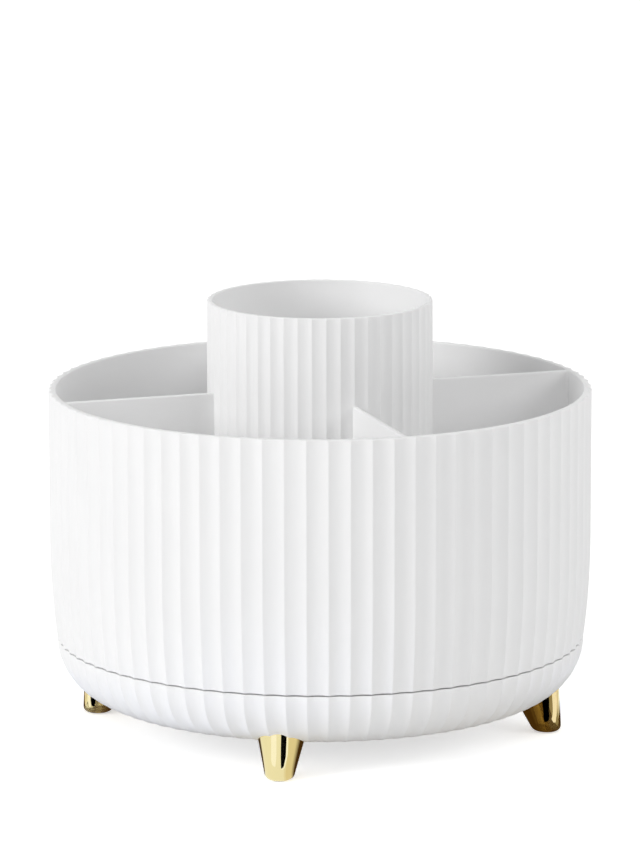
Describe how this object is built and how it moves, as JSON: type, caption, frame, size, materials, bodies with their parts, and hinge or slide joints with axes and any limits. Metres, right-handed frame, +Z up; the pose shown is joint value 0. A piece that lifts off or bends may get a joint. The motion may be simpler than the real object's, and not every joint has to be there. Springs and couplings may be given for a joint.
{
  "type": "rotating makeup organizer",
  "caption": "Round fluted vanity organizer: an open drum with radial dividers and a tall centre cup turns on a fluted base that stands on short conical feet.",
  "frame": {"origin": "on the turning axis, on the table under the feet's pads", "axes": "+Z up along the turning axis; -Y towards the front, +X to the right as seen from the front"},
  "size_m": [0.2, 0.2, 0.1599],
  "materials": {
    "drum_plastic": "fine satin",
    "base_plastic": "fine satin",
    "deck_plastic": "as moulded",
    "foot_gold": "polished gold plating",
    "pad_rubber": "matt",
    "race_steel": "zinc plated",
    "ball_steel": "polished",
    "cage_plastic": "natural acetal",
    "post_plastic": "natural acetal",
    "screw_steel": "zinc plated"
  },
  "bodies": {
    "base": {"base_shell": "base_plastic", "base_deck": "deck_plastic", "lower_race": "race_steel", "pivot_post": "post_plastic", "pivot_washer": "screw_steel", "pivot_screw": "screw_steel", "deck_screws": "screw_steel", "foot_screws": "screw_steel", "foot_pads": "pad_rubber", "foot_front": "foot_gold", "foot_right": "foot_gold", "foot_rear": "foot_gold", "foot_left": "foot_gold"},
    "cage": {"ball_cage": "cage_plastic", "bearing_balls": "ball_steel"},
    "drum": {"drum_shell": "drum_plastic", "centre_cup": "drum_plastic", "cup_floor_cap": "drum_plastic", "cup_screws": "screw_steel", "upper_race": "race_steel"}
  },
  "joints": [
    {"name": "drum_spin", "type": "hinge", "parent": "base", "child": "drum", "pos_m": [0, 0, 0.0383], "axis": [0, 0, 1], "continuous": true},
    {"name": "cage_spin", "type": "hinge", "parent": "base", "child": "cage", "pos_m": [0, 0, 0.0343], "axis": [0, 0, 1], "continuous": true}
  ],
  "couplings": [
    {"joint": "cage_spin", "follows": "drum_spin", "ratio": 0.5}
  ]
}
